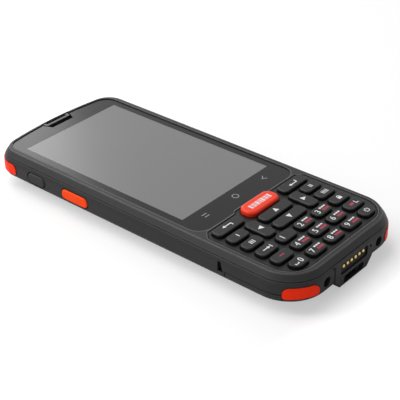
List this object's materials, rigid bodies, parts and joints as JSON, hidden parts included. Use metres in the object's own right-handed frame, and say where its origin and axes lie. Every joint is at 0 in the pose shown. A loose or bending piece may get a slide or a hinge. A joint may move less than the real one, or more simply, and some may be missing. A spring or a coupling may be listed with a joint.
{
  "type": "portable barcode data terminal",
  "caption": "Rugged handheld barcode terminal: flat touch display over a keypad with a central scan key, side triggers, corner bumpers, rear camera and removable battery cover.",
  "frame": {"origin": "under the middle of the terminal, on the surface that its back rests on", "axes": "+X to the user's right, +Y towards the earpiece end, +Z out of the screen"},
  "size_m": [0.069, 0.1603, 0.0179],
  "materials": {
    "shell": "moulded, fine spark-eroded texture",
    "keypad_plate": "moulded, satin",
    "touch_glass": "polished, black printed border",
    "display": "switched off",
    "trim": "semi-gloss",
    "keycap": "smooth satin",
    "scan_key": "smooth satin, orange red",
    "side_button": "smooth satin, orange",
    "bumper": "soft, satin red",
    "silicone": "matte",
    "circuit_board": "solder mask",
    "battery_wrap": "shrink film",
    "dark_window": "polished, tinted",
    "flash_lens": "frosted",
    "insulator": "moulded",
    "gold": "gold plated",
    "steel": "plated",
    "module": "moulded"
  },
  "bodies": {
    "housing": {"battery_pack": "battery_wrap", "bumper_end_left": "bumper", "bumper_end_right": "bumper", "bumper_top_left": "bumper", "bumper_top_right": "bumper", "camera_lens": "dark_window", "camera_module": "module", "case_screws": "steel", "charging_contacts": "gold", "contact_block": "insulator", "earpiece_speaker": "module", "earpiece_trim": "trim", "flash_led": "flash_lens", "front_shell": "shell", "keypad_board": "circuit_board", "keypad_frame": "keypad_plate", "keypad_membrane": "silicone", "lcd_module": "display", "loudspeaker": "module", "main_board": "circuit_board", "microphone": "module", "rear_shell": "shell", "scan_engine": "module", "scan_window": "dark_window", "side_switches": "module", "touch_glass": "touch_glass", "usb_socket": "steel", "vibration_motor": "module"},
    "battery_cover": {"battery_cover": "shell"},
    "cover_screw_left": {"cover_screw_left": "steel"},
    "cover_screw_right": {"cover_screw_right": "steel"},
    "trigger_left": {"trigger_left": "side_button"},
    "trigger_right": {"trigger_right": "side_button"},
    "volume_rocker": {"volume_rocker": "shell"},
    "key_scan": {"key_scan": "scan_key"},
    "key_up": {"key_up": "keycap"},
    "key_down": {"key_down": "keycap"},
    "key_left": {"key_left": "keycap"},
    "key_right": {"key_right": "keycap"},
    "key_back": {"key_back": "keycap"},
    "key_return": {"key_return": "keycap"},
    "key_function_1": {"key_function_1": "keycap"},
    "key_function_2": {"key_function_2": "keycap"},
    "key_function_3": {"key_function_3": "keycap"},
    "key_function_4": {"key_function_4": "keycap"},
    "key_tab": {"key_tab": "keycap"},
    "key_1": {"key_1": "keycap"},
    "key_2": {"key_2": "keycap"},
    "key_3": {"key_3": "keycap"},
    "key_lock": {"key_lock": "keycap"},
    "key_dash": {"key_dash": "keycap"},
    "key_4": {"key_4": "keycap"},
    "key_5": {"key_5": "keycap"},
    "key_6": {"key_6": "keycap"},
    "key_call": {"key_call": "keycap"},
    "key_0": {"key_0": "keycap"},
    "key_7": {"key_7": "keycap"},
    "key_8": {"key_8": "keycap"},
    "key_9": {"key_9": "keycap"},
    "key_power": {"key_power": "keycap"}
  },
  "joints": [
    {"name": "battery_cover_lift", "type": "slide", "parent": "housing", "child": "battery_cover", "axis": [0, 0, -1], "range_m": [0, 0.012]},
    {"name": "cover_screw_left_turn", "type": "hinge", "parent": "battery_cover", "child": "cover_screw_left", "pos_m": [-0.02, 0.00635, 0.001], "axis": [0, 0, 1], "continuous": true},
    {"name": "cover_screw_right_turn", "type": "hinge", "parent": "battery_cover", "child": "cover_screw_right", "pos_m": [0.02, 0.00635, 0.001], "axis": [0, 0, 1], "continuous": true},
    {"name": "trigger_left_press", "type": "slide", "parent": "housing", "child": "trigger_left", "axis": [1, 0, 0], "range_m": [0, 0.0006], "stiffness_N_per_m": 800},
    {"name": "trigger_right_press", "type": "slide", "parent": "housing", "child": "trigger_right", "axis": [-1, 0, 0], "range_m": [0, 0.0006], "stiffness_N_per_m": 800},
    {"name": "volume_rocker_tilt", "type": "hinge", "parent": "housing", "child": "volume_rocker", "pos_m": [-0.032, 0.05285, 0.009], "axis": [0, 0, 1], "range_deg": [-2.5, 2.5], "stiffness_Nm_per_rad": 0.23},
    {"name": "key_scan_press", "type": "slide", "parent": "housing", "child": "key_scan", "axis": [0, 0, -1], "range_m": [0, 0.0005], "stiffness_N_per_m": 600},
    {"name": "key_up_press", "type": "slide", "parent": "housing", "child": "key_up", "axis": [0, 0, -1], "range_m": [0, 0.0005], "stiffness_N_per_m": 600},
    {"name": "key_down_press", "type": "slide", "parent": "housing", "child": "key_down", "axis": [0, 0, -1], "range_m": [0, 0.0005], "stiffness_N_per_m": 600},
    {"name": "key_left_press", "type": "slide", "parent": "housing", "child": "key_left", "axis": [0, 0, -1], "range_m": [0, 0.0005], "stiffness_N_per_m": 600},
    {"name": "key_right_press", "type": "slide", "parent": "housing", "child": "key_right", "axis": [0, 0, -1], "range_m": [0, 0.0005], "stiffness_N_per_m": 600},
    {"name": "key_back_press", "type": "slide", "parent": "housing", "child": "key_back", "axis": [0, 0, -1], "range_m": [0, 0.0005], "stiffness_N_per_m": 600},
    {"name": "key_return_press", "type": "slide", "parent": "housing", "child": "key_return", "axis": [0, 0, -1], "range_m": [0, 0.0005], "stiffness_N_per_m": 600},
    {"name": "key_function_1_press", "type": "slide", "parent": "housing", "child": "key_function_1", "axis": [0, 0, -1], "range_m": [0, 0.0005], "stiffness_N_per_m": 600},
    {"name": "key_function_2_press", "type": "slide", "parent": "housing", "child": "key_function_2", "axis": [0, 0, -1], "range_m": [0, 0.0005], "stiffness_N_per_m": 600},
    {"name": "key_function_3_press", "type": "slide", "parent": "housing", "child": "key_function_3", "axis": [0, 0, -1], "range_m": [0, 0.0005], "stiffness_N_per_m": 600},
    {"name": "key_function_4_press", "type": "slide", "parent": "housing", "child": "key_function_4", "axis": [0, 0, -1], "range_m": [0, 0.0005], "stiffness_N_per_m": 600},
    {"name": "key_tab_press", "type": "slide", "parent": "housing", "child": "key_tab", "axis": [0, 0, -1], "range_m": [0, 0.0005], "stiffness_N_per_m": 600},
    {"name": "key_1_press", "type": "slide", "parent": "housing", "child": "key_1", "axis": [0, 0, -1], "range_m": [0, 0.0005], "stiffness_N_per_m": 600},
    {"name": "key_2_press", "type": "slide", "parent": "housing", "child": "key_2", "axis": [0, 0, -1], "range_m": [0, 0.0005], "stiffness_N_per_m": 600},
    {"name": "key_3_press", "type": "slide", "parent": "housing", "child": "key_3", "axis": [0, 0, -1], "range_m": [0, 0.0005], "stiffness_N_per_m": 600},
    {"name": "key_lock_press", "type": "slide", "parent": "housing", "child": "key_lock", "axis": [0, 0, -1], "range_m": [0, 0.0005], "stiffness_N_per_m": 600},
    {"name": "key_dash_press", "type": "slide", "parent": "housing", "child": "key_dash", "axis": [0, 0, -1], "range_m": [0, 0.0005], "stiffness_N_per_m": 600},
    {"name": "key_4_press", "type": "slide", "parent": "housing", "child": "key_4", "axis": [0, 0, -1], "range_m": [0, 0.0005], "stiffness_N_per_m": 600},
    {"name": "key_5_press", "type": "slide", "parent": "housing", "child": "key_5", "axis": [0, 0, -1], "range_m": [0, 0.0005], "stiffness_N_per_m": 600},
    {"name": "key_6_press", "type": "slide", "parent": "housing", "child": "key_6", "axis": [0, 0, -1], "range_m": [0, 0.0005], "stiffness_N_per_m": 600},
    {"name": "key_call_press", "type": "slide", "parent": "housing", "child": "key_call", "axis": [0, 0, -1], "range_m": [0, 0.0005], "stiffness_N_per_m": 600},
    {"name": "key_0_press", "type": "slide", "parent": "housing", "child": "key_0", "axis": [0, 0, -1], "range_m": [0, 0.0005], "stiffness_N_per_m": 600},
    {"name": "key_7_press", "type": "slide", "parent": "housing", "child": "key_7", "axis": [0, 0, -1], "range_m": [0, 0.0005], "stiffness_N_per_m": 600},
    {"name": "key_8_press", "type": "slide", "parent": "housing", "child": "key_8", "axis": [0, 0, -1], "range_m": [0, 0.0005], "stiffness_N_per_m": 600},
    {"name": "key_9_press", "type": "slide", "parent": "housing", "child": "key_9", "axis": [0, 0, -1], "range_m": [0, 0.0005], "stiffness_N_per_m": 600},
    {"name": "key_power_press", "type": "slide", "parent": "housing", "child": "key_power", "axis": [0, 0, -1], "range_m": [0, 0.0005], "stiffness_N_per_m": 600}
  ]
}
